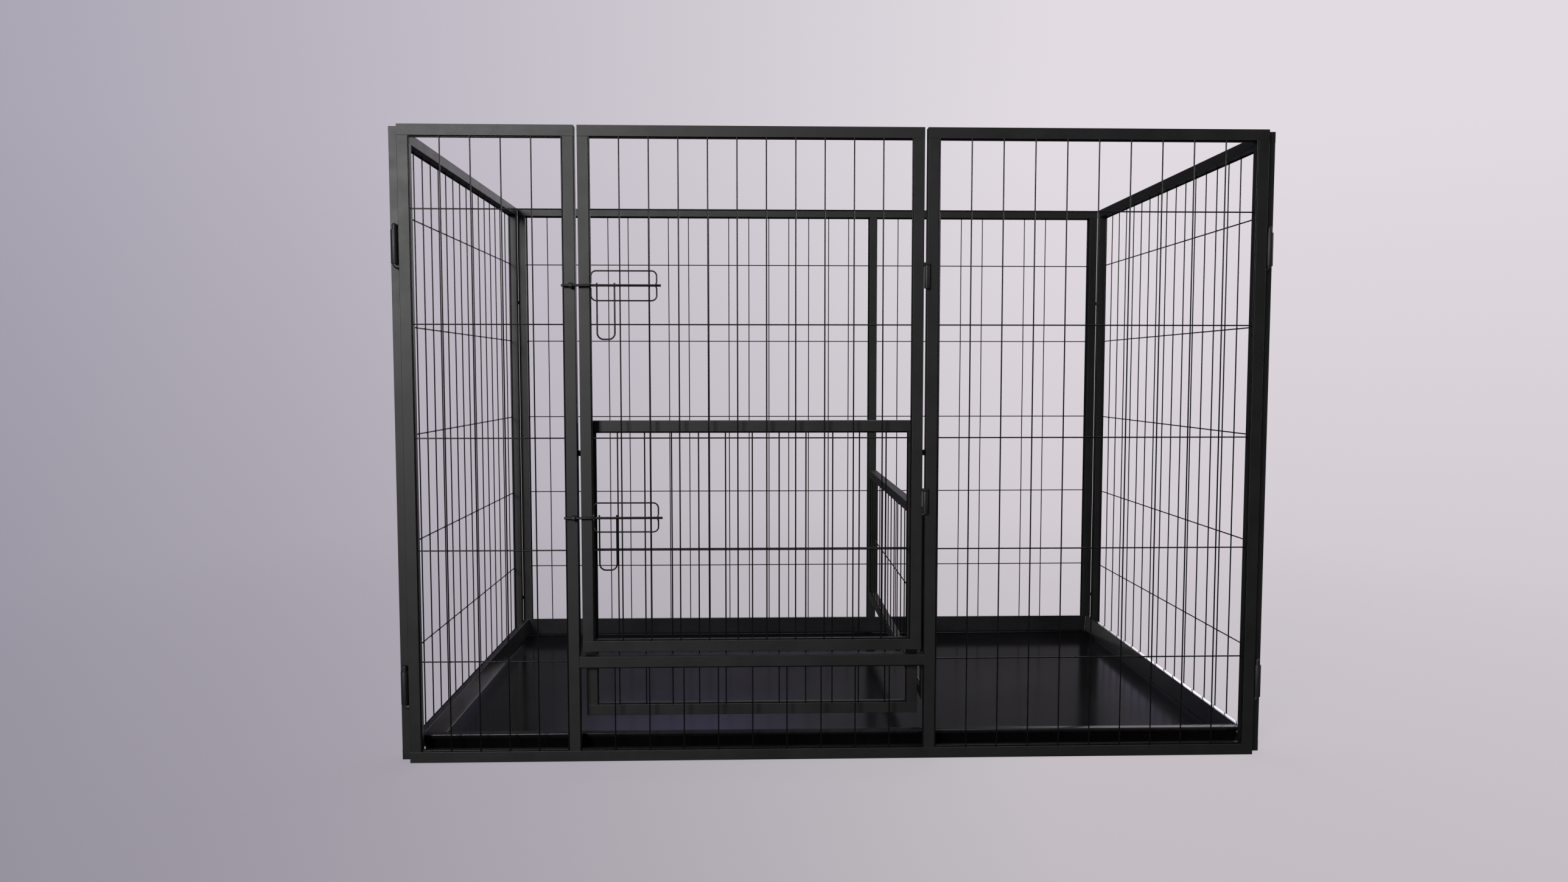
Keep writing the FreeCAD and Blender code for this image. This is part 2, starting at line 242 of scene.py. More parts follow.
@dataclass(frozen=True)
class Finish:
    """A coated or moulded surface: two tones, a gloss, a fine relief and, inside a pan, painted light that
    makes the walls lighter.
    """

    name: str
    slot: Slot
    dark: Triple
    light: Triple
    patch: float
    rough: Pair
    grain: float
    relief: float
    specular: float
    # Painted light inside a pan: faces that look up or inwards have their colour multiplied, below floor_level
    # by the floor's gain and higher up by the walls' and lip's gain.
    floor_level: float = 0.0
    floor_painted_light_gain: float = 1.0
    inside_painted_light_gain: float = 1.0
    inside_span: Pair = (0.01, 0.07)
    patch_noise: Pair = (4.0, 0.6)
    grain_noise: Pair = (2.0, 0.55)
    patch_share: float = 0.65
    tone_span: Pair = (0.36, 0.66)
    rough_span: Pair = (0.35, 0.65)
    relief_depth: float = 0.15 * MM

    def material(self) -> bpy.types.Material:
        """Build the node material.

        Returns:
            The material, with tones, gloss and relief from noise on Object coordinates.
        """
        made = bpy.data.materials.new(self.name)
        graph = ShaderGraph(made)
        place = graph.coordinates("Object")
        patches = graph.noise(place, self.patch, *self.patch_noise)
        specks = graph.noise(place, self.grain, *self.grain_noise)
        mottle = graph.total(graph.product(patches, self.patch_share),
                             graph.product(specks, 1.0 - self.patch_share))
        colour = graph.tones(mottle, self.tone_span, self.dark, self.light)
        # Painted light: the pan's inner faces are lightened, the floor a little and the walls and lip much
        # more.
        if self.floor_level:
            inside = graph.slope(graph.part(graph.coordinates("Normal"), "Z"), *self.inside_span)
            floor = graph.slope(graph.part(place, "Z"), self.floor_level, 2 * self.floor_level, 1.0, 0.0)
            painted_light_gain = graph.mixed(inside, 1.0, graph.mixed(floor, self.inside_painted_light_gain, self.floor_painted_light_gain))
            colour = graph.scaled(colour, painted_light_gain)
        relief = {"Height": specks, "Strength": self.relief, "Distance": self.relief_depth}
        shader = graph.add("ShaderNodeBsdfPrincipled", {
            "Base Color": colour, "Roughness": graph.slope(mottle, *self.rough_span, *self.rough),
            "Normal": graph.add("ShaderNodeBump", relief), "Specular IOR Level": self.specular})
        graph.node("ShaderNodeOutputMaterial", {"Surface": shader})
        return made


TUBE_FINISH = Finish(
    "charcoal_powder_coat", Slot.TUBE, dark=(0.0045, 0.0047, 0.0046), light=(0.0085, 0.0087, 0.0086),
    patch=22.0, rough=(0.47, 0.55), grain=620.0, relief=0.18, specular=0.50)
WIRE_FINISH = Finish(
    "black_wire_enamel", Slot.WIRE, dark=(0.0020, 0.0021, 0.0024), light=(0.0044, 0.0046, 0.0052),
    patch=60.0, rough=(0.24, 0.33), grain=900.0, relief=0.10, specular=0.22)
BOLT_FINISH = Finish(
    "black_bolt_enamel", Slot.HARDWARE, dark=(0.0030, 0.0031, 0.0034), light=(0.0062, 0.0064, 0.0068),
    patch=45.0, rough=(0.26, 0.36), grain=800.0, relief=0.12, specular=0.28)
BARREL_FINISH = Finish(
    "charcoal_barrel_coat", Slot.HARDWARE, dark=(0.0070, 0.0072, 0.0072), light=(0.0120, 0.0123, 0.0123),
    patch=40.0, rough=(0.48, 0.56), grain=700.0, relief=0.16, specular=0.50)
# The tray's inner walls and lip carry painted light, their colour lightened 5.6 times; its floor 1.2 times.
TRAY_FINISH = Finish(
    "satin_black_tray", Slot.TRAY, dark=(0.0018, 0.0018, 0.0020), light=(0.0038, 0.0037, 0.0041),
    patch=5.0, rough=(0.12, 0.17), grain=420.0, relief=0.05, specular=0.25,
    floor_level=4.0 * MM, floor_painted_light_gain=1.2, inside_painted_light_gain=5.6)


def put_in_scene(name: str, data: bpy.types.ID) -> bpy.types.Object:
    """Put data into the scene as a new object.

    Args:
        name: Name of the object.
        data: Mesh, lamp or camera.

    Returns:
        The object.
    """
    made = bpy.data.objects.new(name, data)
    bpy.context.scene.collection.objects.link(made)
    return made


class Shop:
    """Keeps the finished materials and puts pieces into the scene."""

    def __init__(self, finishes: Iterable[Finish]) -> None:
        """Build one material for each finish."""
        self.materials = {finish: finish.material() for finish in finishes}

    def coat(self, nodes: Iterable[str], finish: Finish) -> None:
        """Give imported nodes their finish.

        Args:
            nodes: Names of the nodes that stay in view.
            finish: The finish they take.
        """
        for name in nodes:
            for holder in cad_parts[name].material_slots:
                holder.material = self.materials[finish]
            LOG.info("coated %s with %s", name, finish.name)

    def place(self, name: str, mesh: Mesh, finish: Finish, body: str, replaced: str) -> None:
        """Put a finished mesh into the scene as a piece.

        Args:
            name: Name of the piece.
            mesh: Mesh with its place in its vertices.
            finish: The finish it takes.
            body: Body that it moves with.
            replaced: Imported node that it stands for.
        """
        mesh.name = name
        mesh.materials.clear()
        mesh.materials.append(self.materials[finish])
        piece = put_in_scene(name, mesh)
        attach(piece, body)
        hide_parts(replaced)
        LOG.info("placed %s on %s with %d faces", name, body, len(mesh.polygons))


def circle(sides: int) -> list[Pair]:
    """Points evenly round a circle of radius one."""
    angles = [2 * math.pi * k / sides for k in range(sides)]
    return [(math.cos(angle), math.sin(angle)) for angle in angles]


def quarter(steps: int) -> list[float]:
    """Even angles from zero to a right angle."""
    return [math.radians(90.0) * k / steps for k in range(steps + 1)]


def rounded_end(length: float, radius: float, nose: float, steps: int = NOSE_STEPS) -> list[Pair]:
    """Radius and height along the rounded upper end of a round bar."""
    return [(radius - nose * (1 - math.cos(turn)), length - nose * (1 - math.sin(turn)))
            for turn in quarter(steps)]


def rounded_ends(length: float, radius: float, nose: float) -> list[Pair]:
    """Radius and height along a round bar with both ends rounded."""
    upper = rounded_end(length, radius, nose)
    return [(wide, length - level) for wide, level in reversed(upper)] + upper


def edge_levels(low: float, high: float, edge: float, share: float = 0.3) -> list[Pair]:
    """Inset and height of the rings that break the lower and upper edge of an upright shape."""
    middle = share * edge
    return [(edge, low), (middle, low + middle), (0.0, low + edge),
            (0.0, high - edge), (middle, high - middle), (edge, high)]


def rounded_ring(low: Sequence[float], high: Sequence[float], inset: float, corner: float, level: float,
                 steps: int) -> list[Vector]:
    """Rounded rectangle at one height, counter-clockwise from above.

    Args:
        low: Least x and y.
        high: Greatest x and y.
        inset: Distance inside those limits.
        corner: Radius of its corners.
        level: Height.
        steps: Steps in each corner.

    Returns:
        Its points.
    """
    points = []
    for number, (sx, sy) in enumerate(((1, -1), (1, 1), (-1, 1), (-1, -1))):
        cx = (high[0] if sx > 0 else low[0]) - sx * (inset + corner)
        cy = (high[1] if sy > 0 else low[1]) - sy * (inset + corner)
        for step in range(steps + 1):
            angle = math.radians(90.0) * (number - 1 + step / steps)
            points.append(Vector((cx + corner * math.cos(angle), cy + corner * math.sin(angle), level)))
    return points


def stand(x: float, y: float, z: float, turn: float = 0.0) -> Matrix:
    """Place at a point, turned about the vertical by degrees."""
    return Matrix.Translation((x, y, z)) @ Matrix.Rotation(math.radians(turn), 4, "Z")


def lay(x: float, y: float, z: float) -> Matrix:
    """Place at a point with the shape's Z axis along +X."""
    return Matrix.Translation((x, y, z)) @ Matrix.Rotation(math.radians(90.0), 4, "Y")


def upend(place: Matrix) -> Matrix:
    """The same place with the shape's Z axis pointing down."""
    return place @ Matrix.Rotation(math.radians(180.0), 4, "X")


def soften(mesh: Mesh) -> None:
    """Shade a mesh smooth, with its sharp edges kept."""
    mesh.shade_smooth()
    mesh.set_sharp_from_angle(angle=math.radians(SHARP_ANGLE))


@dataclass(frozen=True)
class Barrel:
    """A bored barrel with a weld seat between its wall and the tube behind it."""

    length: float
    outside: float
    bore: float
    seat_x: Pair
    seat_y: Pair
    seat_inset: float
    seat_edge: float
    cut: float = 0.5 * MM
    cut_share: float = 0.25

    def profile(self) -> list[Pair]:
        """Draw the section of the wall.

        Returns:
            Radius and height of its points, with broken edges.
        """
        hole = self.bore / 2
        top = self.length
        cut = self.cut
        levels = edge_levels(0.0, top, cut, self.cut_share)
        outer = [(self.outside / 2 - inset, level) for inset, level in levels]
        return outer + [(hole + cut, top), (hole, top - cut), (hole, cut), (hole + cut, 0.0)]


class Form:
    """Gathers closed shapes into one mesh."""

    def __init__(self) -> None:
        """Start with nothing."""
        self.points: list[Vector] = []
        self.faces: list[list[int]] = []

    def rings(self, rings: Sequence[Sequence[Vector]], place: Matrix = Matrix(),
              endless: bool = False) -> None:
        """Skin a row of rings, which run counter-clockwise seen from the last ring.

        Args:
            rings: Rings of the same number of points.
            place: Where the shape goes.
            endless: Whether the last ring joins the first; otherwise both are capped.
        """
        base = len(self.points)
        count = len(rings[0])
        self.points.extend(place @ point for ring in rings for point in ring)
        for k in range(len(rings) if endless else len(rings) - 1):
            low = base + k * count
            top = base + (k + 1) % len(rings) * count
            for j in range(count):
                side = (j + 1) % count
                self.faces.append([low + j, low + side, top + side, top + j])
        if not endless:
            last = base + (len(rings) - 1) * count
            self.faces.append([base + j for j in reversed(range(count))])
            self.faces.append([last + j for j in range(count)])

    def turned(self, profile: Sequence[Pair], place: Matrix, endless: bool = False,
               sides: int = ROUND_SIDES) -> None:
        """Turn a profile of radius and height round the Z axis; an endless one closes on itself."""
        rings = [[Vector((wide * x, wide * y, level)) for x, y in circle(sides)] for wide, level in profile]
        self.rings(rings, place, endless)

    def barrel(self, kind: Barrel, place: Matrix) -> None:
        """Barrel standing on the origin, with its weld seat."""
        self.turned(kind.profile(), place, True)
        self.block((kind.seat_x[0], kind.seat_y[0], kind.seat_inset),
                   (kind.seat_x[1], kind.seat_y[1], kind.length - kind.seat_inset), kind.seat_edge, place)

    def pin(self, length: float, diameter: float, nose: float, place: Matrix) -> None:
        """Round pin from the origin upwards, with a rounded upper end."""
        self.turned([(diameter / 2, 0.0)] + rounded_end(length, diameter / 2, nose), place)

    def bent_pin(self, leg: Vector, heel: Vector, top: float, diameter: float, bend: float,
                 nose: float) -> None:
        """Round bar that lies from one point to another, bends upwards there and ends in a dome.

        Args:
            leg: Start of the lying part.
            heel: Where the lying and the upright part would meet.
            top: Height of the domed end.
            diameter: Diameter.
            bend: Radius of the bend.
            nose: Rounding of the domed end.
        """
        along = (heel - leg).normalized()
        side = UP.cross(along)
        first = heel - along * bend
        radius = diameter / 2
        stations = [(leg, along, radius)]
        for turn in quarter(BEND_STEPS):
            centre = first + along * bend * math.sin(turn) + UP * bend * (1 - math.cos(turn))
            stations.append((centre, along * math.cos(turn) + UP * math.sin(turn), radius))
        for wide, level in rounded_end(top, radius, nose, BEND_STEPS):
            stations.append((Vector((heel.x, heel.y, level)), UP, wide))
        self.rings([[centre + side.cross(ahead) * wide * x + side * wide * y for x, y in circle(ROUND_SIDES)]
                    for centre, ahead, wide in stations])

    def block(self, low: Triple, high: Triple, edge: float, place: Matrix = Matrix()) -> None:
        """Box between two corners, with rounded upright edges and softened top and bottom."""
        self.rings([rounded_ring(low, high, inset, max(edge - inset, LEAST_CORNER * edge), level, BLOCK_STEPS)
                    for inset, level in edge_levels(low[2], high[2], edge)], place)

    def arm(self, reach: float, width: float, seat: float, thick: float, edge: float, place: Matrix) -> None:
        """Flat arm with a round end at the origin, reaching along +X, with softened edges.

        Args:
            reach: Length from the round end's centre.
            width: Width over the round end.
            seat: From the centre to the arm's edge on the -Y side.
            thick: Height.
            edge: Size of its softened edges.
            place: Where it goes.
        """
        turns = [math.radians(90.0 + 180.0 * k / ARM_STEPS) for k in range(ARM_STEPS + 1)]
        rings = []
        for inset, level in edge_levels(0.0, thick, edge):
            wide = width / 2 - inset
            near = inset - seat
            outline = [(wide * math.cos(turn), wide * math.sin(turn)) for turn in turns]
            outline += [(0.0, near), (reach, near), (reach, wide)]
            rings.append([Vector((x, y, level)) for x, y in outline])
        self.rings(rings, place)

    def take(self, mesh: Mesh) -> None:
        """Take up the faces of a mesh in its final place."""
        self.faces.extend([len(self.points) + k for k in face.vertices] for face in mesh.polygons)
        self.points.extend(vertex.co.copy() for vertex in mesh.vertices)

    def mesh(self) -> Mesh:
        """Turn what was gathered into a mesh.

        Returns:
            The mesh, shaded smooth.
        """
        made = bpy.data.meshes.new("form")
        made.from_pydata([tuple(point) for point in self.points], [], self.faces)
        made.update()
        soften(made)
        return made


class GeometryTool:
    """A Geometry Nodes tree with named inputs, run on a start mesh and turned into a plain mesh."""

    def __init__(self, name: str, inputs: dict[str, str]) -> None:
        """Start an empty tree.

        Args:
            name: Name of the tree.
            inputs: Socket type of each named input.
        """
        self.tree = bpy.data.node_groups.new(name, "GeometryNodeTree")
        self.graph = GeometryGraph(self.tree)
        self.codes = {}
        for key, kind in ({"Geometry": "NodeSocketGeometry"} | inputs).items():
            socket = self.tree.interface.new_socket(name=key, in_out="INPUT", socket_type=kind)
            self.codes[key] = socket.identifier
        self.tree.interface.new_socket(name="Geometry", in_out="OUTPUT", socket_type="NodeSocketGeometry")
        self.given = self.graph.node("NodeGroupInput", {}).outputs

    def close(self, parts: Sequence[Socket], material: bpy.types.Material) -> None:
        """Join the parts, realize them and set their material."""
        done = {"Geometry": self.graph.realized(self.graph.joined(*parts)), "Material": material}
        self.graph.node("NodeGroupOutput", {0: self.graph.add("GeometryNodeSetMaterial", done)})

    def run(self, start: Mesh, values: dict[str, Any]) -> Mesh:
        """Run the tree on a mesh.

        Args:
            start: Mesh that goes into the tree.
            values: Value of each named input.

        Returns:
            The result as a plain mesh.
        """
        carrier = put_in_scene("carrier", start)
        modifier = carrier.modifiers.new("shape", "NODES")
        modifier.node_group = self.tree
        for key, value in values.items():
            modifier[self.codes[key]] = value
        graph = bpy.context.evaluated_depsgraph_get()
        mesh = bpy.data.meshes.new_from_object(carrier.evaluated_get(graph), depsgraph=graph)
        carrier.modifiers.remove(modifier)
        bpy.data.objects.remove(carrier)
        soften(mesh)
        return mesh


@dataclass
class Grille:
    """One welded wire grille: how many uprights it has and where its cross wires lie."""

    node: str
    body: str
    facing: Facing
    uprights: int
    crosses: int = 5
    lowest: float = 149.5 * MM
    pitch: float = 163.6 * MM
    upright_pitch: float = 0.0
    turned: bool = False

    def origin(self) -> Vector:
        """Lower corner where the grille's own axes start."""
        low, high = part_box(self.node)
        return Vector((high.x if self.facing in (Facing.RIGHT, Facing.BACK) else low.x,
                       high.y if self.facing in (Facing.LEFT, Facing.BACK) else low.y, low.z))

    def span(self) -> Pair:
        """Length along the panel, and height."""
        low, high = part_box(self.node)
        along = high.x - low.x if self.facing in (Facing.FRONT, Facing.BACK) else high.y - low.y
        return along, high.z - low.z


@dataclass
class GrilleMaker:
    """Makes every grille from one tree: wires, weld nuggets at the crossings and beads at the wire ends."""

    shop: Shop
    wire: float = 2.05 * MM
    sides: int = 10
    nugget: Triple = (1.4 * MM, 0.85 * MM, 1.4 * MM)
    bead: Triple = (1.75 * MM, 1.4 * MM, 1.5 * MM)
    weld_segments: int = 8
    weld_rings: int = 5
    weld_least: Triple = (0.86, 0.9, 0.86)
    weld_most: Triple = (1.1, 1.0, 1.14)
    seed: int = 7

    def tool(self) -> GeometryTool:
        """Build the grille's tree.

        Returns:
            The tool, whose inputs are the rows of wires of one grille, and the length and height of a wire.
        """
        inputs = {f"{row} {part}": kind for row in WIRE_ROWS for part, kind in ROW_PARTS.items()}
        inputs |= {"Length": "NodeSocketVector", "Height": "NodeSocketVector"}
        made = GeometryTool("welded_grille", inputs)
        graph = made.graph
        given = made.given
        rows = [graph.row(*(given[f"{row} {part}"] for part in ROW_PARTS)) for row in WIRE_ROWS]
        stems = graph.joined(*rows[:2])
        rungs = graph.joined(*rows[2:])
        crossings = graph.spread(stems, rungs, (0.0, -self.wire - TOUCH / 2, 0.0))
        seat = (0.0, self.bead[1] - self.wire / 2, 0.0)
        feet = graph.spread(stems, graph.row(2, seat, given["Height"]))
        tips = graph.spread(rungs, graph.row(2, seat, given["Length"]))
        made.close([graph.set_on(stems, self.drawn(graph, given["Height"])),
                    graph.set_on(rungs, self.drawn(graph, given["Length"])),
                    self.welded(graph, crossings, self.nugget), self.welded(graph, feet, self.bead),
                    self.welded(graph, tips, self.bead[::-1])], self.shop.materials[WIRE_FINISH])
        return made

    def drawn(self, graph: GeometryGraph, end: Socket) -> Socket:
        """Straight drawn wire from the origin to a point."""
        line = graph.add("GeometryNodeCurvePrimitiveLine", {"Start": (0.0, 0.0, 0.0), "End": end})
        return graph.wire(line, self.wire / 2, self.sides)

    def welded(self, graph: GeometryGraph, points: Socket, size: Triple) -> Socket:
        """Small rounded welds of slightly uneven size.

        Args:
            graph: Tree's graph.
            points: Where they sit.
            size: Half size on each axis.

        Returns:
            Instances socket.
        """
        ball = {"Segments": self.weld_segments, "Rings": self.weld_rings, "Radius": 1.0}
        blob = graph.add("GeometryNodeMeshUVSphere", ball)
        flat = graph.add("GeometryNodeTransform", {"Geometry": blob, "Scale": size})
        limits = {"Min": self.weld_least, "Max": self.weld_most, "Seed": self.seed}
        uneven = graph.add("FunctionNodeRandomValue", limits, data_type="FLOAT_VECTOR")
        return graph.set_on(points, flat, uneven)

    def build(self, grilles: Sequence[Grille]) -> None:
        """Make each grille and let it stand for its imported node.

        Args:
            grilles: The grilles of every panel.
        """
        tool = self.tool()
        edge = self.wire / 2 + TOUCH
        depths = (self.wire / 2, 3 * self.wire / 2 + TOUCH)
        for grille in grilles:
            length, height = grille.span()
            near, behind = reversed(depths) if grille.turned else depths
            step = grille.upright_pitch or (length - 2 * edge) / (grille.uprights - 1)
            first = (length - step * (grille.uprights - 3)) / 2
            lowest = grille.lowest - grille.origin().z
            rows = ((grille.uprights - 2, (first, near, 0.0), (step, 0.0, 0.0)),
                    (2, (edge, near, 0.0), (length - 2 * edge, 0.0, 0.0)),
                    (grille.crosses, (0.0, behind, lowest), (0.0, 0.0, grille.pitch)),
                    (2, (0.0, behind, edge), (0.0, 0.0, height - 2 * edge)))
            values = {"Length": (length, 0.0, 0.0), "Height": (0.0, 0.0, height)}
            for name, row in zip(WIRE_ROWS, rows):
                values |= {f"{name} {part}": value for part, value in zip(ROW_PARTS, row)}
            mesh = tool.run(bpy.data.meshes.new("start"), values)
            mesh.transform(stand(*grille.origin(), grille.facing.value))
            self.shop.place(grille.node + "_welded", mesh, WIRE_FINISH, grille.body, grille.node)


class WireBender:
    """Bends round wire along straight runs."""

    def __init__(self, material: bpy.types.Material, sides: int = 14) -> None:
        """Build the tree that rounds a path's corners and draws a wire along it.

        Args:
            material: Finish of the wire.
            sides: Points round it.
        """
        self.tool = GeometryTool("bent_wire", {"Wire": "NodeSocketFloat"})
        graph = self.tool.graph
        given = self.tool.given
        bend = graph.add("GeometryNodeInputNamedAttribute", {"Name": "bend"}, data_type="FLOAT")
        path = graph.add("GeometryNodeMeshToCurve", {0: given["Geometry"]})
        rounding = {"Curve": path, "Radius": bend, "Count": BEND_STEPS}
        eased = graph.add("GeometryNodeFilletCurve", rounding, mode="POLY")
        self.tool.close([graph.wire(eased, graph.math("DIVIDE", given["Wire"], 2.0), sides)], material)

    def bent(self, wire: float, points: Sequence[Vector], bends: Sequence[float],
             closed: bool = False) -> Mesh:
        """Bend one wire.

        Args:
            wire: Its diameter.
            points: Corners of its path.
            bends: Radius of the bend at each corner.
            closed: Whether its ends meet.

        Returns:
            Mesh of the wire.
        """
        count = len(points)
        edges = [(k, (k + 1) % count) for k in range(count if closed else count - 1)]
        path = bpy.data.meshes.new("path")
        path.from_pydata([tuple(point) for point in points], edges, [])
        path.attributes.new("bend", "FLOAT", "POINT").data.foreach_set("value", bends)
        return self.tool.run(path, {"Wire": wire})


@dataclass
class SlideBolts:
    """The two slide bolts on the door: guide loops, rods and hanging handles, and their keepers."""

    shop: Shop
    bender: WireBender
    levels: tuple[tuple[str, float], ...] = (("upper", 695.4 * MM), ("lower", 361.6 * MM))
    guide_wire: float = 2.2 * MM
    handle_wire: float = 2.4 * MM
    rod: float = 3.6 * MM
    slack: float = 0.3 * MM
    face: float = -390.0 * MM
    y_guide: float = -391.12 * MM
    y_handle: float = -393.72 * MM
    y_rod: float = -397.02 * MM
    wrap: float = 3.2 * MM
    guide_x: Pair = (-353.5 * MM, -259.7 * MM)
    guide_half: float = 21.2 * MM
    guide_corner: float = 7.5 * MM
    guide_bend: float = 2.4 * MM
    handle_x: Pair = (-344.7 * MM, -319.6 * MM)
    handle_drop: float = 76.5 * MM
    handle_top: float = 3.9 * MM
    handle_corner: float = 9.0 * MM
    rod_x: Pair = (-395.0 * MM, -253.0 * MM)
    rod_end: float = 0.9 * MM
    keeper_x: float = -384.4 * MM
    keeper_length: float = 6.5 * MM
    keeper_outside: float = 8.3 * MM
    keeper_round: float = 1.8 * MM
    stem_half: float = 2.0 * MM
    stem_start: float = 2.4 * MM
    stem_edge: float = 0.6 * MM
    weld: tuple[Pair, ...] = ((0.4 * MM, 0.0), (1.3 * MM, 0.7 * MM), (1.7 * MM, 2.2 * MM),
                              (1.3 * MM, 3.7 * MM), (0.4 * MM, 4.4 * MM))
    weld_sides: int = 10

    def guide(self, level: float) -> Mesh:
        """Closed loop whose short sides arch over the rod.

        Args:
            level: Height of the rod's axis.

        Returns:
            The loop.
        """
        steps = [(self.y_guide, self.guide_half), (self.y_guide, self.wrap),
                 (self.y_rod - self.wrap, self.wrap)]
        points = []
        for x, way in ((self.guide_x[1], 1), (self.guide_x[0], -1)):
            points += [Vector((x, y, level + way * rise)) for y, rise in steps]
            points += [Vector((x, y, level - way * rise)) for y, rise in reversed(steps)]
        bends = [self.guide_corner, self.guide_bend, self.wrap]
        return self.bender.bent(self.guide_wire, points, (bends + bends[::-1]) * 2, True)

    def handle(self, level: float) -> Form:
        """U-shaped handle that hangs from the rod, with the welds between them.

        Args:
            level: Height of the rod's axis.

        Returns:
            The handle.
        """
        left, right = self.handle_x
        corners = ((left, self.handle_top), (left, -self.handle_drop), (right, -self.handle_drop),
                   (right, self.handle_top))
        points = [Vector((x, self.y_handle, level + rise)) for x, rise in corners]
        form = Form()
        bends = [0.0, self.handle_corner, self.handle_corner, 0.0]
        form.take(self.bender.bent(self.handle_wire, points, bends))
        foot = level - self.weld[-1][1] / 2
        for x in self.handle_x:
            form.turned(self.weld, stand(x, (self.y_handle + self.y_rod) / 2, foot), sides=self.weld_sides)
        return form

    def keeper(self, form: Form, level: float) -> None:
        """Rounded collar, bored for the rod, with the stem that it is welded on by.

        Args:
            form: Where it is gathered.
            level: Height of the rod's axis.
        """
        bore = self.rod / 2 + self.slack
        collar = rounded_ends(self.keeper_length, self.keeper_outside / 2, self.keeper_round)
        collar += [(bore, self.keeper_length), (bore, 0.0)]
        form.turned(collar, lay(self.keeper_x, self.y_rod, level), True)
        middle = self.keeper_x + self.keeper_length / 2
        form.block((middle - self.stem_half, self.y_rod + self.stem_start, level - self.stem_half),
                   (middle + self.stem_half, self.face, level + self.stem_half), self.stem_edge)

    def build(self) -> None:
        """Make the guides, handles, rods and keepers."""
        shop = self.shop
        profile = rounded_ends(self.rod_x[1] - self.rod_x[0], self.rod / 2, self.rod_end)
        guides = Form()
        keepers = Form()
        for name, level in self.levels:
            handle = self.handle(level).mesh()
            shop.place(name + "_handle_bent", handle, BOLT_FINISH, name + "_handle", name + "_bolt_handle")
            rod = Form()
            rod.turned(profile, lay(self.rod_x[0], self.y_rod, level))
            shop.place(name + "_rod_turned", rod.mesh(), BOLT_FINISH, name + "_bolt", name + "_bolt_rod")
            self.keeper(keepers, level)
            guides.take(self.guide(level))
        shop.place("bolt_guides_bent", guides.mesh(), BOLT_FINISH, "door", "bolt_guides")
        shop.place("bolt_keepers_turned", keepers.mesh(), BARREL_FINISH, FRAME_BODY, "bolt_keepers")


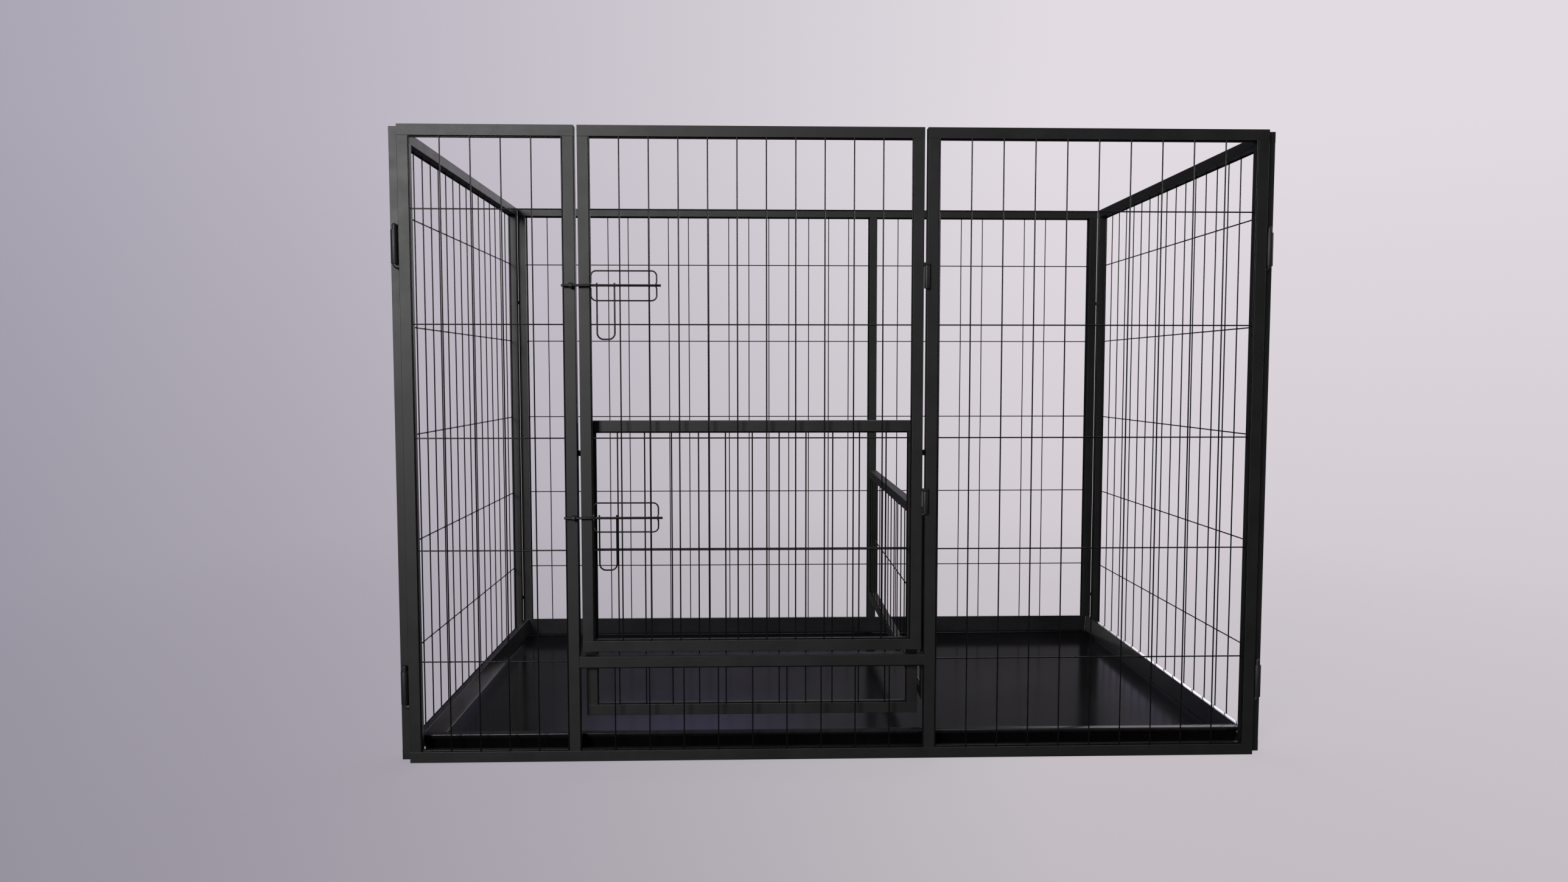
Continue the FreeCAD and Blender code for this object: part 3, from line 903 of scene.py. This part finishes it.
@dataclass
class PinsAndBarrels:
    """Corner pins, door hinges, gate hooks and divider feet, with the barrels that take them."""

    shop: Shop
    slack: float = 0.3 * MM
    nose: float = 0.8 * MM
    arm_edge: float = 0.5 * MM
    panel_end: float = 625.0 * MM
    corner: Pair = (633.8 * MM, 379.52 * MM)
    corner_levels: Pair = (727.0 * MM, 85.5 * MM)
    corner_barrel: Barrel = Barrel(48.4 * MM, 11.0 * MM, 7.2 * MM, seat_x=(-3.0 * MM, 3.0 * MM),
                                   seat_y=(3.9 * MM, 5.5 * MM), seat_inset=1.0 * MM, seat_edge=0.5 * MM)
    corner_pin: float = 7.0 * MM
    corner_bend: float = 4.2 * MM
    corner_dome: float = 9.2 * MM
    corner_nose: float = 3.2 * MM
    hinge: Pair = (128.4 * MM, -394.5 * MM)
    hinge_tops: Pair = (729.3 * MM, 402.6 * MM)
    hinge_barrel: Barrel = Barrel(33.0 * MM, 8.0 * MM, 5.2 * MM, seat_x=(1.7 * MM, 4.0 * MM),
                                  seat_y=(2.7 * MM, 4.5 * MM), seat_inset=0.8 * MM, seat_edge=0.4 * MM)
    hinge_lug: float = 3.8 * MM
    hinge_pin: float = 5.0 * MM
    hinge_reach: float = 5.0 * MM
    hook_x: Pair = (-384.5 * MM, 138.0 * MM)
    hook_y: float = -369.45 * MM
    hook_level: float = 449.7 * MM
    hook_reach: float = 15.0 * MM
    hook_width: float = 8.5 * MM
    hook_thick: float = 8.0 * MM
    hook_pin_length: float = 20.0 * MM
    socket: Barrel = Barrel(25.0 * MM, 8.5 * MM, 5.2 * MM, seat_x=(-2.1 * MM, 2.1 * MM),
                            seat_y=(3.4 * MM, 4.55 * MM), seat_inset=0.8 * MM, seat_edge=0.4 * MM)
    foot_y: float = 355.0 * MM
    foot_top: float = 80.0 * MM
    foot_socket: Barrel = Barrel(20.0 * MM, 10.0 * MM, 6.2 * MM, seat_x=(-4.0 * MM, 4.0 * MM),
                                 seat_y=(3.6 * MM, 19.0 * MM), seat_inset=0.0, seat_edge=0.9 * MM)
    foot_pin: float = 6.0 * MM
    foot_pin_length: float = 16.0 * MM
    rear_hook_level: float = 318.0 * MM
    rear_reach: float = 6.45 * MM

    def place(self, ending: str, form: Form, body: str, node: str) -> None:
        """Put coated hardware into the scene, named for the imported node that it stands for."""
        self.shop.place(f"{node}_{ending}", form.mesh(), BARREL_FINISH, body, node)

    def corners(self) -> None:
        """Domed pins on the front and back panels, and the side panels' barrels over them."""
        pins = Form()
        for hand, side in (("left", -1), ("right", 1)):
            barrels = Form()
            x = side * self.corner[0]
            for y, turn in ((-self.corner[1], 0.0), (self.corner[1], 180.0)):
                for level in self.corner_levels:
                    barrels.barrel(self.corner_barrel, stand(x, y, level, turn))
                    low = level - self.slack - self.corner_bend
                    top = level + self.corner_barrel.length + self.corner_dome
                    pins.bent_pin(Vector((side * self.panel_end, y, low)), Vector((x, y, low)), top,
                                  self.corner_pin, self.corner_bend, self.corner_nose)
            self.place("welded", barrels, f"{hand}_panel", f"{hand}_corner_barrels")
        self.place("domed", pins, FRAME_BODY, "corner_pins")

    def hinges(self) -> None:
        """Lift-off hinges of the door."""
        barrels = Form()
        pins = Form()
        kind = self.hinge_barrel
        for top in self.hinge_tops:
            lug = stand(*self.hinge, top - self.hinge_lug, 180.0)
            barrels.barrel(kind, self.under(*self.hinge, top - self.hinge_lug, kind))
            pins.arm(self.hinge_reach, kind.outside, kind.seat_y[1], self.hinge_lug, self.arm_edge, lug)
            pins.pin(kind.length, self.hinge_pin, self.nose, upend(lug))
        self.place("welded", barrels, FRAME_BODY, "door_hinge_barrels")
        self.place("welded", pins, "door", "door_hinge_pins")

    def under(self, x: float, y: float, level: float, kind: Barrel, turn: float = 0.0) -> Matrix:
        """Place of a barrel that ends just under a level."""
        return stand(x, y, level - self.slack - kind.length, turn)

    def hook(self, form: Form, reach: float, place: Matrix) -> None:
        """Hook with a hanging pin, placed by the underside of its arm at the pin's axis."""
        form.arm(reach, self.hook_width, self.hook_width / 2, self.hook_thick, self.arm_edge, place)
        form.pin(self.hook_pin_length, self.hinge_pin, self.nose, upend(place))

    def gate(self) -> None:
        """Hooks of the inner gate and the sockets behind the doorway's posts."""
        hooks = Form()
        sockets = Form()
        for x, turn in zip(self.hook_x, (0.0, 180.0)):
            self.hook(hooks, self.hook_reach, stand(x, self.hook_y, self.hook_level, turn))
            sockets.barrel(self.socket, self.under(x, self.hook_y, self.hook_level, self.socket, 180.0))
        self.place("formed", hooks, "gate", "gate_hooks")
        self.place("welded", sockets, FRAME_BODY, "gate_sockets")

    def divider(self) -> None:
        """Foot pins and rear hook of the divider, and the three sockets that take them."""
        pins = Form()
        sockets = Form()
        x = self.hook_x[1]
        for y, turn in ((-self.foot_y, 180.0), (self.foot_y, 0.0)):
            pins.pin(self.foot_pin_length, self.foot_pin, self.nose, upend(stand(x, y, self.foot_top)))
            sockets.barrel(self.foot_socket, self.under(x, y, self.foot_top, self.foot_socket, turn))
        self.hook(pins, self.rear_reach, stand(x, -self.hook_y, self.rear_hook_level, -90.0))
        sockets.barrel(self.socket, self.under(x, -self.hook_y, self.rear_hook_level, self.socket))
        self.place("turned", pins, "divider", "divider_pins")
        self.place("welded", sockets, FRAME_BODY, "divider_sockets")

    def build(self) -> None:
        """Make all the pins and barrels."""
        self.corners()
        self.hinges()
        self.gate()
        self.divider()


@dataclass
class Tray:
    """The floor tray: a drawn pan with leaning walls, a sloping turned-down lip and softened bends."""

    shop: Shop
    height: float = 37.0 * MM
    lip: float = 10.0 * MM
    wall: float = 2.5 * MM
    lean: float = 4.0 * MM
    rim: float = 7.0 * MM
    lip_drop: float = 1.2 * MM
    corner: float = 1.2 * MM
    margin: float = 12.0 * MM
    foot_bends: Pair = (1.4 * MM, 3.0 * MM)
    top_bends: Pair = (0.7 * MM, 1.0 * MM)
    lip_bends: Pair = (1.4 * MM, 0.6 * MM)
    rim_bend: float = 0.9 * MM
    arc_steps: int = 6

    def profile(self) -> list[Pair]:
        """Round the corners of the wall's section.

        Returns:
            Points as (inset, height), from the floor over the lip to the underside.
        """
        foot = self.lip + self.lean
        under = self.height - self.wall
        edge = self.height - self.rim
        sharp = [((foot + self.margin, self.wall), 0.0), ((foot, self.wall), self.foot_bends[0]),
                 ((self.lip, self.height), self.top_bends[0]),
                 ((0.0, self.height - self.lip_drop), self.lip_bends[0]),
                 ((0.0, edge), self.rim_bend), ((self.wall, edge), self.rim_bend),
                 ((self.wall, under - self.lip_drop), self.lip_bends[1]),
                 ((self.lip - self.wall, under), self.top_bends[1]),
                 ((foot - self.wall, 0.0), self.foot_bends[1]), ((foot + self.margin, 0.0), 0.0)]
        return [point for k in range(len(sharp)) for point in self.eased(sharp, k)]

    def eased(self, sharp: Sequence[tuple[Pair, float]], k: int) -> list[Pair]:
        """One corner of the section, rounded by its radius.

        Args:
            sharp: Corner points with their radii.
            k: Number of the corner.

        Returns:
            Points along its arc, or the corner itself.
        """
        here = Vector(sharp[k][0])
        radius = sharp[k][1]
        if radius == 0.0:
            return [tuple(here)]
        into = (here - Vector(sharp[k - 1][0])).normalized()
        out = (Vector(sharp[k + 1][0]) - here).normalized()
        turn = into.angle(out)
        first = here - into * radius * math.tan(turn / 2)
        inward = (out - into * math.cos(turn)) / math.sin(turn)
        angles = [turn * step / self.arc_steps for step in range(self.arc_steps + 1)]
        return [tuple(first + (into * math.sin(angle) + inward * (1 - math.cos(angle))) * radius)
                for angle in angles]

    def build(self) -> None:
        """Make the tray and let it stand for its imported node."""
        low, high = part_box("tray")
        form = Form()
        form.rings([rounded_ring(low, high, inset, self.corner, level, self.arc_steps)
                    for inset, level in reversed(self.profile())])
        self.shop.place("tray_pan", form.mesh(), TRAY_FINISH, FRAME_BODY, "tray")


@dataclass(frozen=True)
class Lamp:
    """A soft square lamp."""

    name: str
    place: Triple
    aim: Triple
    size: float
    watts: float
    colour: Triple

    def hang(self) -> None:
        """Put the lamp into the scene, turned towards its aim."""
        data = bpy.data.lights.new(self.name, "AREA")
        data.size = self.size
        data.energy = self.watts
        data.color = self.colour
        lamp = put_in_scene(self.name, data)
        lamp.location = self.place
        lamp.rotation_euler = (Vector(self.aim) - Vector(self.place)).to_track_quat("-Z", "Y").to_euler()


@dataclass(frozen=True)
class Mirrored:
    """What glossy faces show of the surround, by a direction's height and its lean to the right and back."""

    side: Triple = (0.8, 0.6, 0.0)
    sheen: Slope = (0.40, 0.84, 0.02, 1.0)
    band: Slope = (0.0, 0.10, 0.03, 4.0)
    band_end: Pair = (0.11, 0.15)
    base: Slope = (0.45, 0.80, 0.13, 0.16)
    pane_lean: Pair = (0.68, 0.73)
    pane_height: Slope = (0.44, 0.48, 0.0, 3.5)
    glow_height: tuple[Pair, Pair] = ((0.308, 0.34), (0.40, 0.44))
    glow_lean: tuple[Pair, Pair] = ((0.40, 0.46), (0.54, 0.68))
    glow_strength: float = 0.6
    patch_height: tuple[Pair, Pair] = ((0.21, 0.23), (0.246, 0.254))
    patch_lean: Pair = (0.795, 0.815)
    patch_strength: float = 1.5
    corner_height: tuple[Pair, Pair] = ((0.13, 0.15), (0.20, 0.23))
    corner_lean: Pair = (0.835, 0.86)
    corner_strength: float = 8.0
    lavender: tuple[float, float, float, float] = (0.55, 0.53, 0.95, 1.0)

    def strength(self, graph: ShaderGraph, way: Socket) -> tuple[Socket, Socket]:
        """Build the nodes.

        Args:
            graph: World's graph.
            way: Direction, as a vector.

        Returns:
            Strength of the surround, and share of lavender in its tone.
        """
        height = graph.part(way, "Z")
        lean = graph.add("ShaderNodeVectorMath", {0: way, 1: self.side}, "Value", operation="DOT_PRODUCT")
        low = graph.product(graph.slope(lean, *self.sheen), graph.slope(height, *self.band))
        pane = graph.product(graph.slope(lean, *self.pane_lean), graph.slope(height, *self.pane_height))
        glow = graph.product(graph.between(height, *self.glow_height), graph.between(lean, *self.glow_lean))
        patch = graph.product(graph.between(height, *self.patch_height), graph.slope(lean, *self.patch_lean))
        upper = graph.total(pane, graph.product(glow, self.glow_strength),
                            graph.product(patch, self.patch_strength), graph.slope(lean, *self.base))
        corner = graph.product(graph.between(height, *self.corner_height),
                               graph.slope(lean, *self.corner_lean), self.corner_strength)
        shown = graph.total(graph.mixed(graph.slope(height, *self.band_end), low, upper), corner)
        return shown, graph.math("MAXIMUM", glow, patch)


LAMPS = (
    Lamp("key", (-1.92, -3.95, 1.68), (-0.4, 0.0, 0.6), size=1.1, watts=124.0, colour=(1.0, 0.99, 0.98)),
    Lamp("fill", (3.6, -1.0, 3.0), (0.0, 0.0, 0.4), size=2.4, watts=12.0, colour=(0.95, 0.95, 1.0)),
    Lamp("top", (0.2, 0.6, 4.2), (0.0, 0.0, 0.4), size=2.4, watts=70.0, colour=(0.97, 0.96, 1.0)),
)


@dataclass
class Stage:
    """Floor, pale surround, lamps and camera."""

    lamps: tuple[Lamp, ...] = LAMPS
    mirrored: Mirrored = Mirrored()
    floor_radius: float = 14.0
    floor_sides: int = 96
    floor_bounce: float = 0.12
    floor_mirrored: float = 0.12
    floor_shade: Slope = (0.7, 2.6, 0.82, 1.0)
    surround_light: float = 0.4
    left_tone: Triple = (0.392, 0.371, 0.445)
    right_tone: Triple = (0.760, 0.708, 0.760)
    tone_span: Pair = (0.21, 0.63)
    tone_shade: Slope = (-0.45, 0.2, 0.725, 1.0)
    eye: Triple = (-0.12106, -1.91412, 0.56949)
    down: float = 3.647
    aside: float = 1.648
    lens: float = 24.161
    sensor: float = 36.0

    def tones(self, graph: ShaderGraph, way: Socket) -> Socket:
        """Pale tone that lightens from left to right and darkens downwards.

        Args:
            graph: Shader's graph.
            way: Direction, as a vector.

        Returns:
            Colour socket.
        """
        unit = graph.add("ShaderNodeVectorMath", {0: way}, operation="NORMALIZE")
        across = graph.slope(graph.part(unit, "X"), -1.0, 1.0)
        tone = graph.tones(across, self.tone_span, self.left_tone, self.right_tone)
        return graph.scaled(tone, graph.slope(graph.part(unit, "Z"), *self.tone_shade))

    @staticmethod
    def level(graph: ShaderGraph, mirrored: Any, other: float) -> Socket:
        """Strength of a pale surface: one for camera and transmission rays, else as mirrored or a light."""
        clear = graph.math("MAXIMUM", graph.ray("Is Camera Ray"), graph.ray("Is Transmission Ray"))
        return graph.mixed(clear, graph.mixed(graph.ray("Is Glossy Ray"), other, mirrored), 1.0)

    def floor(self) -> None:
        """Round pale floor that still takes the run's shadow."""
        material = bpy.data.materials.new("pale_floor")
        graph = ShaderGraph(material)
        place = graph.coordinates("Object")
        way = graph.add("ShaderNodeVectorMath", {0: place, 1: self.eye}, operation="SUBTRACT")
        tone = self.tones(graph, way)
        shown = graph.scaled(tone, graph.mixed(graph.ray("Is Camera Ray"), self.floor_bounce, 1.0))
        matt = graph.add("ShaderNodeBsdfDiffuse", {"Color": shown})
        glow = graph.add("ShaderNodeEmission", {"Color": tone})
        away = graph.add("ShaderNodeVectorMath", {0: place}, "Value", operation="LENGTH")
        near = graph.slope(away, *self.floor_shade, interpolation_type="SMOOTHSTEP")
        share = graph.product(self.level(graph, self.floor_mirrored, 0.0), near)
        surface = graph.add("ShaderNodeMixShader", {0: share, 1: matt, 2: glow})
        graph.node("ShaderNodeOutputMaterial", {"Surface": surface})
        mesh = bpy.data.meshes.new("floor")
        rim = [(self.floor_radius * x, self.floor_radius * y, 0.0) for x, y in circle(self.floor_sides)]
        mesh.from_pydata(rim, [], [list(range(self.floor_sides))])
        mesh.materials.append(material)
        put_in_scene("floor", mesh)

    def surround(self) -> None:
        """Pale world, dimmer as a light than as a background."""
        world = bpy.data.worlds.new("surround")
        graph = ShaderGraph(world)
        way = graph.coordinates("Generated")
        glossy, lavender = self.mirrored.strength(graph, way)
        share = graph.product(graph.ray("Is Glossy Ray"), lavender)
        tints = {0: share, 6: self.tones(graph, way), 7: self.mirrored.lavender}
        tone = graph.add("ShaderNodeMix", tints, 2, data_type="RGBA")
        strength = self.level(graph, glossy, self.surround_light)
        back = graph.add("ShaderNodeBackground", {"Color": tone, "Strength": strength})
        graph.node("ShaderNodeOutputWorld", {"Surface": back})
        bpy.context.scene.world = world

    def camera(self) -> None:
        """Camera at the photograph's place and angle."""
        data = bpy.data.cameras.new("camera")
        data.sensor_fit = "HORIZONTAL"
        data.sensor_width = self.sensor
        data.lens = self.lens
        eye = put_in_scene("camera", data)
        eye.location = self.eye
        eye.rotation_euler = (math.radians(90.0 - self.down), 0.0, math.radians(-self.aside))
        bpy.context.scene.camera = eye

    def build(self) -> None:
        """Set the stage."""
        bpy.context.scene.view_settings.view_transform = "Standard"
        self.floor()
        self.surround()
        for lamp in self.lamps:
            lamp.hang()
        self.camera()


GRILLES = (
    Grille("front_left_mesh", FRAME_BODY, Facing.FRONT, 6),
    Grille("front_right_mesh", FRAME_BODY, Facing.FRONT, 11),
    Grille("front_low_mesh", FRAME_BODY, Facing.FRONT, 11, crosses=0),
    Grille("left_mesh", "left_panel", Facing.LEFT, 18, turned=True),
    Grille("right_mesh", "right_panel", Facing.RIGHT, 18, turned=True),
    Grille("back_left_mesh", FRAME_BODY, Facing.BACK, 18),
    Grille("back_right_mesh", FRAME_BODY, Facing.BACK, 11),
    Grille("door_mesh", "door", Facing.FRONT, 12, crosses=4, lowest=313.1 * MM),
    Grille("gate_mesh", "gate", Facing.FRONT, 13, crosses=1, lowest=311.5 * MM, upright_pitch=39.5 * MM),
    Grille("divider_mesh", "divider", Facing.LEFT, 17, crosses=1, lowest=220.0 * MM),
)


def main() -> None:
    """Build the looks in order."""
    logging.basicConfig(level=logging.INFO, format="%(name)s: %(message)s")
    shop = Shop((TUBE_FINISH, WIRE_FINISH, BOLT_FINISH, BARREL_FINISH, TRAY_FINISH))
    GrilleMaker(shop).build(GRILLES)
    SlideBolts(shop, WireBender(shop.materials[BOLT_FINISH])).build()
    PinsAndBarrels(shop).build()
    Tray(shop).build()
    shop.coat([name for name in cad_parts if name.endswith(TUBE_ENDINGS)], TUBE_FINISH)
    Stage().build()


if __name__ == "__main__":
    main()
